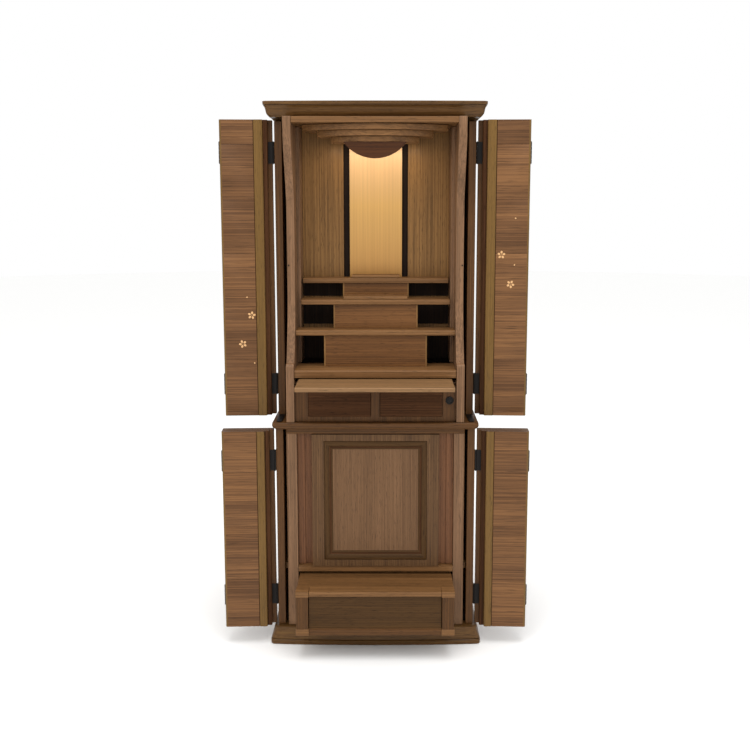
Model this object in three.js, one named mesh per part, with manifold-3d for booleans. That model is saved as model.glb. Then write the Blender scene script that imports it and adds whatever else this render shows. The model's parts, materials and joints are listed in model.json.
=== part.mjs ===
// Household altar cabinet in walnut: a lower cupboard with a pull-out step, an upper body with folding
// doors, and an inner altar of stepped boards under a canopy, shown drawn forward and open.
import * as THREE from "three";
import { mergeVertices } from "three/addons/utils/BufferGeometryUtils.js";
import Module from "manifold-3d";

const wasm = await Module();
wasm.setup();

// Driving dimensions in millimetres. X runs to the right, the front faces -Y and Z is up.
// Y is 0 at the front edges of the lower side panels until the whole part is centred at the end.
const bodyWidth = 545; // over the side panels
const bodyDepth = 419; // front edges of the lower side panels to the rear of the back board
const sideThickness = 20;
const backThickness = 12;
const seam = 0.3; // between pieces that touch
const slideGap = 2.4; // between a sliding piece and what guides it
const baseHeight = 48;
const lowerHeight = 566.5;
const waistThickness = 18;
const upperHeight = 808.5;
const crownHeight = 49;
const upperSetBack = 70; // upper side panels behind the lower ones
const frontBow = 8; // how far the crown and base swell forward in the middle

const baseOverhangSide = 20;
const baseOverhangFront = 24;
const baseFasciaHeight = 14;
const baseCove = 11; // how far the upper band of the base draws in
const crownOverhangSide = 27;
const crownOverhangFront = 39;
const crownNeckHeight = 9;
const crownNeckBehindDoors = 26;
const waistOverhangSide = 8.5;
const waistOverhangFront = 24;
const waistNose = 6;
const mouldingCorner = 12;

const postWidth = 29.5;
const postFromSide = 8; // shadow gap between a side panel and its post
const postThickness = 24;
const postProud = 4;
const friezeHeight = 15.5;
const friezeProud = 6;
const panelWidth = 350;
const panelThickness = 20;
const panelProud = 6;
const panelFrameWidth = 33;
const panelFrameRail = 18;
const panelBevel = 21;
const panelRecess = 7;
const jambThickness = 12;
const jambRecess = 14;
const jambStep = 3;
const jambBehindPanel = 12;
const nicheFloorTop = 72;
const nicheHeight = 132;
const cupboardFloorThickness = 16.5;

const stepOut = 120; // how far the step stands out in front of the lower body
const stepDepth = 300;
const stepHeight = 122.5;
const stepPost = 35;
const stepCap = 15.5;
const stepFoot = 17;
const stepPostInset = 1.6;
const stepBoard = 13;
const stepPanelRecess = 7;

const leafThickness = 20;
const leafOneWidth = 139.5;
const leafTwoWidth = 128;
const leafEdgeRadius = 4;
const hingeGap = 2.75; // hinge axis to the side panel, and to the leaf
const foldGap = 1.25;
const hingeLength = 58;
const hingeFromEnd = 57;
const cabinetKnuckle = 2.4;
const foldKnuckle = 3.2;
const knuckleClearance = 0.8;
const leafStandOff = 1; // hinge axis to the inner face of each leaf
const leafTiltDegrees = 2.4; // the open leaves lean forward at their outer edges
const upperLeafClear = 4.5;
const lowerLeafClear = 5.5;

const altarFromStile = 12; // each side, between the altar's sides and the upper side panels
const altarSideThickness = 21.5;
const altarForward = 89; // how far the altar's front stands before the upper side panels
const altarRecess = 69; // how far its front edges curve back in the middle
const altarLining = 10;
const altarFeetGap = 0.5;
const altarTopGap = 4;
const altarTopBoard = 16;
const altarBackFromFront = 200;
const nichePanel = 9;
const backBoardThickness = 10;
const shoulderHeight = 160.5; // above the waist, where the front edge steps forward
const shoulderDrop = 10;
const shoulderStep = 21;
const recessLow = 344.5;
const recessHigh = 569.5;
const recessTop = 792;

const goldHalfWidth = 74.5;
const darkStrip = 17;
const goldProud = 2;

const platformTop = 142.5; // above the waist
const platformThickness = 20.6;
const platformBehindFront = 5;
const tierThickness = 14;
const tierBevel = 2.5;
const tierSideGap = 3;
const riserDepth = 54;
const tiers = [
  { riserHeight: 87.5, riserHalf: 141.5, back: 63, overhang: 11, depth: 64 },
  { riserHeight: 67, riserHalf: 117, back: 48, overhang: 10, depth: 66 },
  { riserHeight: 41.5, riserHalf: 93, back: 60, overhang: 10, depth: 54 },
];
const standHalfWidth = 88;
const standThickness = 9;
const standDepth = 46;
const capHalfWidth = 67;
const capThickness = 8;
const capDepth = 44;

const canopyStepHeight = 15.5;
const canopyStepGap = 2;
const canopySagitta = 52;
const canopyHalfWidths = [195, 156, 118];
const canopyFronts = [8, 15, 22];
const canopyBack = 130;
const valanceHalfWidth = 84;
const valanceDrop = 43;
const valanceThickness = 10;
const valanceBehind = 24;

const shelfOut = 115; // how far the pull-out shelf stands before the altar's front
const shelfDepth = 195;
const shelfHalfWidth = 206.5;
const shelfThickness = 11.7;
const shelfBelowPlatform = 2.7;
const runnerHeight = 6;
const runnerReach = 19;

const railHeight = 14;
const frameThickness = 16;
const frameBehindFront = 11;
const dividerHalf = 12.2;
const frameStile = 37;
const drawerGap = 0.8;
const drawerFrontThickness = 14;
const drawerProud = 4;
const drawerTopGap = 3.5;
const drawerDepth = 176;
const drawerWall = 8;
const drawerBottom = 5;
const drawerSideInset = 3.5;
const drawerBodyDrop = 10;
const floorThickness = 10;
const switchRadius = 11;
const switchProud = 3;

const guideWidth = 16;
const guideThickness = 2.5;
const guideEnd = 12;

// Levels and planes that follow from the sizes above.
const half = bodyWidth / 2;
const inner = half - sideThickness;
const baseTop = baseHeight;
const waistBottom = baseTop + lowerHeight;
const waistTop = waistBottom + waistThickness;
const crownBottom = waistTop + upperHeight;
const crownTop = crownBottom + crownHeight;
const crownLip = crownBottom + crownNeckHeight;
const backFront = bodyDepth - backThickness;
const upperFront = upperSetBack;

const wood = (name, color, roughness) =>
  new THREE.MeshStandardMaterial({ name, color, roughness, metalness: 0 });
const walnut = wood("walnut", 0x6e4d33, 0.45);
const doorVeneer = wood("door veneer", 0x7c5636, 0.4);
const edging = wood("olive brown edging", 0x5f4a26, 0.4);
const redwood = wood("reddish strip", 0x6b3f30, 0.45);
const shadowBoard = wood("dark back board", 0x1a120d, 0.7);
const gold = wood("gold panel", 0xd8ae62, 0.35);
const blackMetal = new THREE.MeshStandardMaterial({
  name: "black metal",
  color: 0x14110f,
  roughness: 0.4,
  metalness: 0.8,
});

// Shapes
const place = (geometry, x, y, z) => geometry.applyMatrix4(new THREE.Matrix4().makeTranslation(x, y, z));

const box = ([x0, x1], [y0, y1], [z0, z1]) =>
  place(new THREE.BoxGeometry(x1 - x0, y1 - y0, z1 - z0), (x0 + x1) / 2, (y0 + y1) / 2, (z0 + z1) / 2);

function extrude(points, depth) {
  const shape = new THREE.Shape(points.map(([a, b]) => new THREE.Vector2(a, b)));
  return new THREE.ExtrudeGeometry(shape, { depth, bevelEnabled: false });
}

// A plan outline of x, y pairs, raised from z0 to z1.
const alongZ = (points, [z0, z1]) => place(extrude(points, z1 - z0), 0, 0, z0);

// A side outline of y, z pairs, drawn from x0 to x1.
function alongX(points, [x0, x1]) {
  const turn = new THREE.Matrix4().makeBasis(
    new THREE.Vector3(0, 1, 0),
    new THREE.Vector3(0, 0, 1),
    new THREE.Vector3(1, 0, 0),
  );
  return place(extrude(points, x1 - x0).applyMatrix4(turn), x0, 0, 0);
}

// A front outline of x, z pairs, drawn from y0 to y1.
function alongY(points, [y0, y1]) {
  const turn = new THREE.Matrix4().makeBasis(
    new THREE.Vector3(1, 0, 0),
    new THREE.Vector3(0, 0, 1),
    new THREE.Vector3(0, -1, 0),
  );
  return place(extrude(points, y1 - y0).applyMatrix4(turn), 0, y1, 0);
}

const barrel = (radius, [z0, z1], x, y) =>
  place(
    new THREE.CylinderGeometry(radius, radius, z1 - z0, 14).rotateX(Math.PI / 2),
    x,
    y,
    (z0 + z1) / 2,
  );

function arc(cx, cy, radius, from, to, steps) {
  return Array.from({ length: steps + 1 }, (_, i) => {
    const angle = THREE.MathUtils.degToRad(from + ((to - from) * i) / steps);
    return [cx + radius * Math.cos(angle), cy + radius * Math.sin(angle)];
  });
}

// The plan of a moulded board: square at the back, rounded front corners and a bowed front.
function planRing({ width, front, back, corner, bow }) {
  const flat = width - corner;
  const bowSteps = 12;
  const bowed = Array.from({ length: bowSteps - 1 }, (_, i) => {
    const x = flat * ((2 * (i + 1)) / bowSteps - 1);
    return [x, front - bow * (1 - (x / flat) ** 2)];
  });
  return [
    [-width, back],
    ...arc(-flat, front + corner, corner, 180, 270, 5),
    ...bowed,
    ...arc(flat, front + corner, corner, 270, 360, 5),
    [width, back],
  ];
}

// One closed solid through plan outlines with equal numbers of points, lowest first.
function loft(levels) {
  const rings = levels.map((level) => planRing(level));
  const count = rings[0].length;
  const position = rings.flatMap((ring, k) => ring.flatMap(([x, y]) => [x, y, levels[k].z]));
  const index = [];
  for (let k = 0; k + 1 < rings.length; k++)
    for (let i = 0; i < count; i++) {
      const j = (i + 1) % count;
      const low = k * count;
      const high = low + count;
      index.push(low + i, low + j, high + j, low + i, high + j, high + i);
    }
  const top = (rings.length - 1) * count;
  for (let i = 1; i + 1 < count; i++) index.push(0, i + 1, i, top, top + i, top + i + 1);
  const geometry = new THREE.BufferGeometry();
  geometry.setAttribute("position", new THREE.Float32BufferAttribute(position, 3));
  return geometry.setIndex(index);
}

// A block whose front and back rectangles differ, used to cut bevelled recesses.
function taper(frontHalf, backHalf, [y0, y1], [front0, front1], [back0, back1]) {
  const corners = [
    [-frontHalf, y0, front0], [frontHalf, y0, front0], [frontHalf, y0, front1], [-frontHalf, y0, front1],
    [-backHalf, y1, back0], [backHalf, y1, back0], [backHalf, y1, back1], [-backHalf, y1, back1],
  ];
  const faces = [[0, 1, 2, 3], [5, 4, 7, 6], [1, 5, 6, 2], [4, 0, 3, 7], [3, 2, 6, 7], [4, 5, 1, 0]];
  const geometry = new THREE.BufferGeometry();
  geometry.setAttribute("position", new THREE.Float32BufferAttribute(corners.flat(), 3));
  return geometry.setIndex(faces.flatMap(([a, b, c, d]) => [a, b, c, a, c, d]));
}

function solid(geometry) {
  const bare = new THREE.BufferGeometry();
  bare.setAttribute("position", geometry.getAttribute("position"));
  bare.setIndex(geometry.index);
  const merged = mergeVertices(bare, 1e-3);
  return new wasm.Manifold(
    new wasm.Mesh({
      numProp: 3,
      vertProperties: new Float32Array(merged.attributes.position.array),
      triVerts: new Uint32Array(merged.index.array),
    }),
  );
}

function geometryOf(made) {
  const mesh = made.getMesh();
  const geometry = new THREE.BufferGeometry();
  geometry.setAttribute("position", new THREE.BufferAttribute(new Float32Array(mesh.vertProperties), 3));
  geometry.setIndex(new THREE.BufferAttribute(new Uint32Array(mesh.triVerts), 1));
  geometry.computeVertexNormals();
  return geometry;
}

const join = (first, ...rest) =>
  geometryOf(rest.reduce((made, piece) => made.add(solid(piece)), solid(first)));
const cut = (first, ...rest) =>
  geometryOf(rest.reduce((made, piece) => made.subtract(solid(piece)), solid(first)));

const part = new THREE.Group();
const cabinet = new THREE.Group();
const altar = new THREE.Group();
part.add(cabinet, altar);

function add(group, name, geometry, material) {
  const mesh = new THREE.Mesh(geometry, material);
  mesh.name = name;
  group.add(mesh);
}

const sides = { left: -1, right: 1 };

// A range on the left is the mirror of the same range on the right.
const mirrored = (hand, near, far) => (hand > 0 ? [near, far] : [-far, -near]);

// Base: a low fascia, a groove, then a coved band up to a rounded top edge.
function base() {
  const level = (z, inset) => ({
    z,
    width: half + baseOverhangSide - inset,
    front: -baseOverhangFront + inset,
    back: bodyDepth,
    corner: mouldingCorner,
    bow: frontBow,
  });
  const grooveTop = baseFasciaHeight + 2.5;
  const rise = baseHeight - grooveTop;
  const cove = Array.from({ length: 5 }, (_, i) => {
    const t = i / 5;
    return level(grooveTop + 0.4 + (rise - 3.4) * t, 1.5 + (baseCove - 3.5) * Math.sin((t * Math.PI) / 2));
  });
  add(
    cabinet,
    "base",
    loft([
      level(0, 2),
      level(1.5, 0),
      level(baseFasciaHeight - 1.5, 0),
      level(baseFasciaHeight, 1.5),
      level(baseFasciaHeight + 0.3, 4),
      level(grooveTop, 4),
      ...cove,
      level(baseTop - 3, baseCove - 2),
      level(baseTop - 1, baseCove - 1),
      level(baseTop, baseCove + 1),
    ]),
    edging,
  );
}

function lowerBody() {
  const bottom = baseTop + seam;
  const top = waistBottom - seam;
  const postOuter = inner - postFromSide;
  const postInner = postOuter - postWidth;
  const friezeBottom = waistBottom - friezeHeight;
  const postBack = postThickness - postProud;
  for (const [side, hand] of Object.entries(sides)) {
    add(
      cabinet,
      `lower_side_${side}`,
      box(mirrored(hand, inner, half), [0, backFront - seam], [bottom, top]),
      walnut,
    );
    const round = 6;
    const outline = [
      [postInner, postBack],
      [postInner, -postProud],
      ...arc(postOuter - round, -postProud + round, round, 270, 360, 5),
      [postOuter, postBack],
    ];
    add(
      cabinet,
      `front_post_${side}`,
      alongZ(outline.map(([x, y]) => [hand * x, y]), [bottom, friezeBottom - seam]),
      walnut,
    );
    const jambInner = panelWidth / 2 - jambBehindPanel;
    const jambOuter = postInner - seam;
    const jambMiddle = (panelWidth / 2 + jambOuter) / 2;
    const jamb = [
      [jambInner, jambRecess + jambThickness],
      [jambInner, jambRecess + seam],
      [jambMiddle, jambRecess + seam],
      [jambMiddle, jambRecess - jambStep],
      [jambOuter, jambRecess - jambStep],
      [jambOuter, jambRecess + jambThickness],
    ];
    add(
      cabinet,
      `jamb_strip_${side}`,
      alongZ(
        jamb.map(([x, y]) => [hand * x, y]),
        [nicheFloorTop + nicheHeight + cupboardFloorThickness + seam, friezeBottom - seam],
      ),
      redwood,
    );
  }
  const round = 5;
  const frieze = [
    [-postOuter, postBack],
    ...arc(-postOuter + round, -friezeProud + round, round, 180, 270, 4),
    ...arc(postOuter - round, -friezeProud + round, round, 270, 360, 4),
    [postOuter, postBack],
  ];
  add(cabinet, "frieze_rail", alongZ(frieze, [friezeBottom, top]), walnut);

  // A board between the posts in front and the side panels behind them.
  const nicheBoard = (front) => [
    [-inner + seam, backFront - seam],
    [-inner + seam, postBack + seam],
    [-postInner + seam, postBack + seam],
    [-postInner + seam, front],
    [postInner - seam, front],
    [postInner - seam, postBack + seam],
    [inner - seam, postBack + seam],
    [inner - seam, backFront - seam],
  ];
  add(cabinet, "niche_floor", alongZ(nicheBoard(postBack - 1), [bottom, nicheFloorTop]), shadowBoard);
  const cupboardFloor = nicheFloorTop + nicheHeight;
  add(
    cabinet,
    "cupboard_floor",
    alongZ(nicheBoard(-postProud + 1), [cupboardFloor, cupboardFloor + cupboardFloorThickness]),
    walnut,
  );

  // The lift-off panel stands on the cupboard floor, against the jamb strips.
  const panelBottom = cupboardFloor + cupboardFloorThickness + 1;
  const panelTop = friezeBottom - 3;
  const frame = box(
    [-panelWidth / 2 + 0.5, panelWidth / 2 - 0.5],
    [-panelProud, -panelProud + panelThickness],
    [panelBottom, panelTop],
  );
  const opening = panelWidth / 2 - panelFrameWidth;
  const low = panelBottom + panelFrameRail;
  const high = panelTop - panelFrameRail;
  const lip = 1.5;
  add(
    cabinet,
    "lower_panel",
    cut(
      frame,
      box([-opening, opening], [-panelProud - 1, -panelProud + lip], [low, high]),
      taper(
        opening - lip,
        opening - panelBevel,
        [-panelProud + lip - 0.01, -panelProud + panelRecess],
        [low + lip, high - lip],
        [low + panelBevel, high - panelBevel],
      ),
    ),
    doorVeneer,
  );
}

function waistAndUpperBody() {
  const level = (z, inset) => ({
    z,
    width: half + waistOverhangSide - inset,
    front: -waistOverhangFront + inset,
    back: backFront - seam,
    corner: mouldingCorner,
    bow: 0.4,
  });
  add(
    cabinet,
    "waist_board",
    loft([
      level(waistBottom, waistNose),
      level(waistBottom + 0.25 * waistThickness, waistNose * 0.3),
      level(waistBottom + 0.5 * waistThickness, 0),
      level(waistTop - 0.25 * waistThickness, 0.4),
      level(waistTop - 1.5, 1.2),
      level(waistTop, 3),
    ]),
    walnut,
  );
  for (const [side, hand] of Object.entries(sides)) {
    add(
      cabinet,
      `upper_side_${side}`,
      box(mirrored(hand, inner, half), [upperFront, backFront - seam], [waistTop + seam, crownBottom - seam]),
      walnut,
    );
    const middle = inner + (sideThickness - guideWidth) / 2 + guideWidth / 2 - 1;
    const plate = guideWidth / 2;
    const front = -waistOverhangFront + guideEnd;
    const outline = [
      [hand * middle - plate, upperFront - seam],
      ...arc(hand * middle, front + plate, plate, 180, 360, 8),
      [hand * middle + plate, upperFront - seam],
    ];
    add(
      cabinet,
      `guide_plate_${side}`,
      alongZ(outline, [waistTop + seam, waistTop + seam + guideThickness]),
      blackMetal,
    );
  }
  add(
    cabinet,
    "back_board",
    box([-half + seam, half - seam], [backFront, bodyDepth], [baseTop + seam, crownBottom - seam]),
    walnut,
  );
}

// Crown: a fascia over a groove and an ovolo, coved in below, with a narrower neck behind the doors.
function crown() {
  const level = (z, inset) => ({
    z,
    width: half + crownOverhangSide - inset,
    front: upperFront - crownOverhangFront + inset,
    back: bodyDepth,
    corner: mouldingCorner,
    bow: frontBow,
  });
  const ovolo = crownTop - 11;
  const straight = crownTop - 27;
  const cove = Array.from({ length: 4 }, (_, i) => {
    const t = i / 3;
    return level(crownLip + (straight - crownLip) * t, 8 + 8.5 * (1 - Math.sin((t * Math.PI) / 2)));
  });
  const moulding = loft([
    ...cove,
    level(ovolo - 7, 6.2),
    level(ovolo - 3, 4.6),
    level(ovolo, 1.8),
    level(ovolo + 0.3, 3.4),
    level(ovolo + 2.3, 3.4),
    level(ovolo + 2.6, 0.6),
    level(crownTop - 1, 0),
    level(crownTop, 1),
  ]);
  const neckLevel = (z, inset) => ({
    ...level(z, inset),
    front: upperFront + crownNeckBehindDoors + inset - 16.5,
    corner: 3,
    bow: 0.2,
  });
  const neck = loft([
    neckLevel(crownBottom, crownOverhangSide - 0.5),
    neckLevel(crownBottom + crownNeckHeight * 0.5, 21),
    neckLevel(crownLip + 0.5, 16.5),
  ]);
  const recess = box(
    [-inner, inner],
    [upperFront - crownOverhangFront / 2, backFront - seam],
    [crownBottom - 1, crownLip],
  );
  add(cabinet, "crown", join(moulding, cut(neck, recess)), edging);
}

// A pull-out step: a low table open below, with capped corner posts.
function step() {
  const group = new THREE.Group();
  const stepHalf = inner - postFromSide - postWidth - slideGap;
  const front = -stepOut;
  const back = front + stepDepth;
  const bottom = nicheFloorTop + 2;
  const top = bottom + stepHeight;
  const slab = top - 1 - stepBoard;
  for (const [side, hand] of Object.entries(sides)) {
    const block = mirrored(hand, stepHalf - stepPost, stepHalf);
    const shaft = mirrored(hand, stepHalf - stepPost + stepPostInset, stepHalf - stepPostInset);
    const shaftDepth = [front + stepPostInset, front + stepPost - stepPostInset];
    add(
      group,
      `step_post_${side}`,
      join(
        box(block, [front, front + stepPost], [top - stepCap, top]),
        box(shaft, shaftDepth, [bottom + stepFoot - 0.5, top - stepCap + 0.5]),
        box(block, [front, front + stepPost], [bottom, bottom + stepFoot]),
      ),
      walnut,
    );
    add(
      group,
      `step_side_${side}`,
      box(
        mirrored(hand, stepHalf - 1.5 - stepBoard, stepHalf - 1.5),
        [front + stepPost + seam, back - stepBoard - seam],
        [bottom, slab - seam],
      ),
      walnut,
    );
  }
  const notch = stepHalf - stepPost - seam;
  const edge = stepHalf - 1;
  const plan = [
    [-edge, back],
    [-edge, front + stepPost + seam],
    [-notch, front + stepPost + seam],
    [-notch, front + 2],
    [notch, front + 2],
    [notch, front + stepPost + seam],
    [edge, front + stepPost + seam],
    [edge, back],
  ];
  add(group, "step_top", alongZ(plan, [slab, top - 1]), walnut);
  const panelFront = front + stepPanelRecess;
  const railTop = bottom + stepFoot;
  const face = [
    [panelFront + stepBoard, slab - seam],
    [panelFront, slab - seam],
    [panelFront, railTop],
    [front + 2.5, railTop - 1.5],
    [front + 2.5, bottom - 0.5],
    [panelFront + stepBoard, bottom - 0.5],
  ];
  add(group, "step_front", alongX(face, [-notch, notch]), walnut);
  add(
    group,
    "step_back",
    box([-edge + 0.5, edge - 0.5], [back - stepBoard, back], [bottom, slab - seam]),
    walnut,
  );
  part.add(group);
}

// Doors: each side of each body has two leaves. The first hangs on the side panel, and the second folds
// back over it, outer face to the front.
function doors() {
  const bodies = {
    upper: { plane: upperFront, low: waistTop + upperLeafClear, high: crownLip - upperLeafClear - 2.5 },
    lower: { plane: 0, low: baseTop + lowerLeafClear - 1, high: waistBottom - lowerLeafClear },
  };
  const foldAxis = hingeGap + leafOneWidth + foldGap;
  const rounded = (near, far, low, high) => {
    const r = leafEdgeRadius;
    return [
      ...arc(near + r, low + r, r, 180, 270, 4),
      ...arc(far - r, low + r, r, 270, 360, 4),
      [far, high],
      [near, high],
    ];
  };
  for (const [level, { plane, low, high }] of Object.entries(bodies))
    for (const [side, hand] of Object.entries(sides)) {
      const hinges = [low + hingeFromEnd, high - hingeFromEnd - hingeLength].map((z) => [z, z + hingeLength]);
      const first = alongZ(
        rounded(hingeGap, hingeGap + leafOneWidth, -leafStandOff - leafThickness, -leafStandOff).map(
          ([u, v]) => [hand * u, -v],
        ),
        [low, high],
      );
      const strap = (u, reach, span) => {
        const range = hand > 0 ? [Math.min(u, u + reach), Math.max(u, u + reach)] : [
          Math.min(-u, -u - reach),
          Math.max(-u, -u - reach),
        ];
        return box(range, [-0.6, leafStandOff + 3], span);
      };
      const knuckles = hinges.flatMap((span) => [
        barrel(cabinetKnuckle, span, 0, 0),
        strap(0, hingeGap + 2, span),
        barrel(foldKnuckle, span, hand * foldAxis, 0),
        strap(foldAxis, -foldGap - 2, span),
      ]);
      const second = alongZ(
        rounded(
          foldAxis - foldGap - leafTwoWidth,
          foldAxis - foldGap,
          -leafStandOff - leafThickness,
          -leafStandOff,
        ).map(([u, v]) => [hand * u, v]),
        [low, high],
      );
      const clearings = hinges.flatMap(([z0, z1]) => {
        const span = [z0 - knuckleClearance, z1 + knuckleClearance];
        return [
          barrel(foldKnuckle + knuckleClearance, span, hand * foldAxis, 0),
          box(
            mirrored(hand, foldAxis - foldGap - 2.5, foldAxis),
            [-leafStandOff - 1.2, 0],
            span,
          ),
        ];
      });
      const pair = new THREE.Group();
      add(pair, `${level}_leaf_${side}_inner`, join(first, ...knuckles), doorVeneer);
      add(pair, `${level}_leaf_${side}_outer`, cut(second, ...clearings), doorVeneer);
      pair.position.set(hand * (half + hingeGap), plane - leafStandOff, 0);
      pair.rotation.z = THREE.MathUtils.degToRad(-hand * leafTiltDegrees);
      part.add(pair);
    }
}

// The altar that slides forward on the waist board.
const altarOuter = inner - altarFromStile;
const altarInner = altarOuter - altarSideThickness;
const altarFront = upperFront - altarForward;
const altarBottom = waistTop + altarFeetGap;
const altarTop = crownLip - altarTopGap;
const altarBackFace = altarFront + altarBackFromFront;
const altarRear = altarBackFace + nichePanel + seam + backBoardThickness;
const platform = waistTop + platformTop;
const shelfTop = platform - platformThickness - shelfBelowPlatform;
const shelfBottom = shelfTop - shelfThickness;

// How far behind the altar's front the edge of its side boards runs, at a height above the waist.
function edgeAt(height) {
  const smooth = (t) => t * t * (3 - 2 * t);
  if (height >= recessHigh)
    return altarRecess * smooth(Math.max(0, (recessTop - height) / (recessTop - recessHigh)));
  if (height >= recessLow) return altarRecess;
  const t = (recessLow - height) / (recessLow - shoulderHeight);
  return altarRecess - (altarRecess - shoulderStep) * (1 - Math.cos((t * Math.PI) / 2));
}

function altarSides() {
  const curved = [];
  const heights = [];
  const steps = 9;
  for (let i = 0; i <= steps; i++) heights.push(shoulderHeight + ((recessLow - shoulderHeight) * i) / steps);
  for (let i = 0; i <= steps; i++) heights.push(recessHigh + ((recessTop - recessHigh) * i) / steps);
  for (const height of heights) curved.push([altarFront + edgeAt(height), waistTop + height]);
  const shoulder = arc(
    altarFront + shoulderDrop,
    waistTop + shoulderHeight - shoulderDrop,
    shoulderDrop,
    180,
    90,
    4,
  );
  const outline = [
    [altarRear, altarBottom],
    [altarFront, altarBottom],
    ...shoulder,
    ...curved,
    [altarFront, altarTop],
    [altarRear, altarTop],
  ];
  const tierEnd = altarBackFace - 71;
  for (const [side, hand] of Object.entries(sides)) {
    const board = alongX(outline, mirrored(hand, altarInner, altarOuter));
    const lining = box(
      mirrored(hand, altarInner - altarLining, altarInner + 0.5),
      [tierEnd, altarBackFace + nichePanel],
      [platform + seam, altarTop - altarTopBoard - seam],
    );
    const runner = box(
      mirrored(hand, altarInner - runnerReach, altarInner + 0.5),
      [altarFront + frameBehindFront + frameThickness, altarBackFace + nichePanel],
      [shelfBottom - 0.5 - runnerHeight, shelfBottom - 0.5],
    );
    add(altar, `altar_side_${side}`, join(board, lining, runner), walnut);
  }
}

function altarBack() {
  const top = altarTop - altarTopBoard - seam;
  const panelEdge = altarInner - altarLining - seam;
  const gap = goldHalfWidth + darkStrip;
  const panelBottom = platform + seam;
  add(
    altar,
    "altar_back_board",
    box(
      [-altarInner + seam, altarInner - seam],
      [altarRear - backBoardThickness, altarRear],
      [altarBottom + floorThickness + 3 + seam, top],
    ),
    shadowBoard,
  );
  for (const [side, hand] of Object.entries(sides))
    add(
      altar,
      `niche_panel_${side}`,
      box(mirrored(hand, gap, panelEdge), [altarBackFace, altarBackFace + nichePanel], [panelBottom, top]),
      walnut,
    );
  add(
    altar,
    "gold_panel",
    box(
      [-goldHalfWidth, goldHalfWidth],
      [altarBackFace - goldProud, altarBackFace + nichePanel],
      [panelBottom, top],
    ),
    gold,
  );
}

// A board with an eased front edge.
function ledge([x0, x1], [y0, y1], [z0, z1]) {
  const outline = [
    [y1, z0],
    [y0 + tierBevel * 0.6, z0],
    [y0, z0 + tierBevel],
    [y0, z1 - tierBevel],
    [y0 + tierBevel, z1],
    [y1, z1],
  ];
  return alongX(outline, [x0, x1]);
}

function altarTiers() {
  const full = altarInner - seam;
  const platformFront = altarFront + platformBehindFront;
  add(
    altar,
    "tier_platform",
    ledge(
      [-full, full],
      [platformFront, platformFront + tiers[0].back + riserDepth],
      [platform - platformThickness, platform],
    ),
    walnut,
  );
  const narrow = altarInner - altarLining - tierSideGap;
  const widths = [full, narrow, narrow - 1.5];
  let front = platformFront;
  let level = platform;
  tiers.forEach((tier, i) => {
    const riserFront = front + tier.back;
    const riserTop = level + tier.riserHeight;
    const rear = Math.min(riserFront + riserDepth, altarBackFace - goldProud - seam);
    const name = ["lower", "middle", "upper"][i];
    const block = box(
      [-tier.riserHalf, tier.riserHalf],
      [riserFront, rear],
      [level + seam, riserTop - seam],
    );
    add(altar, `riser_${name}`, block, walnut);
    front = riserFront - tier.overhang;
    level = riserTop + tierThickness;
    const back = Math.min(front + tier.depth, altarBackFace - goldProud - seam);
    add(altar, `tier_${name}`, ledge([-widths[i], widths[i]], [front, back], [riserTop, level]), walnut);
    if (name === "middle") {
      const standBack = Math.min(front + 3 + standDepth, front + tiers[i + 1].back - seam);
      add(
        altar,
        "tier_stand",
        ledge(
          [-standHalfWidth, standHalfWidth],
          [front + 1.5, standBack],
          [level + seam, level + seam + standThickness],
        ),
        walnut,
      );
    }
  });
  add(
    altar,
    "image_stand",
    ledge(
      [-capHalfWidth, capHalfWidth],
      [front + 3, Math.min(front + 3 + capDepth, altarBackFace - goldProud - seam)],
      [level + seam, level + seam + capThickness],
    ),
    walnut,
  );
}

// Canopy: a top board and three bowed boards stepping down below it, with a round valance.
function canopy() {
  add(
    altar,
    "canopy_board_top",
    box(
      [-altarInner + seam, altarInner - seam],
      [altarFront + 2, altarRear],
      [altarTop - altarTopBoard, altarTop - 0.5],
    ),
    walnut,
  );
  const names = ["upper", "middle", "lower"];
  let level = altarTop - altarTopBoard - canopyStepGap * 0.5;
  canopyHalfWidths.forEach((width, i) => {
    const radius = (width ** 2 + canopySagitta ** 2) / (2 * canopySagitta);
    const spread = THREE.MathUtils.radToDeg(Math.asin(width / radius));
    const apex = altarFront + canopyFronts[i];
    const outline = [
      ...arc(0, apex + radius, radius, 270 - spread, 270 + spread, 16),
      [width, altarFront + canopyBack],
      [-width, altarFront + canopyBack],
    ];
    const low = level - canopyStepHeight;
    add(altar, `canopy_board_${names[i]}`, alongZ(outline, [low, level - seam]), walnut);
    level = low;
  });
  const radius = (valanceHalfWidth ** 2 + valanceDrop ** 2) / (2 * valanceDrop);
  const spread = THREE.MathUtils.radToDeg(Math.asin(valanceHalfWidth / radius));
  const bottom = level - valanceDrop - seam;
  add(
    altar,
    "canopy_valance",
    alongY(arc(0, bottom + radius, radius, 270 - spread, 270 + spread, 20), [
      altarFront + valanceBehind,
      altarFront + valanceBehind + valanceThickness,
    ]),
    walnut,
  );
}

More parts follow.
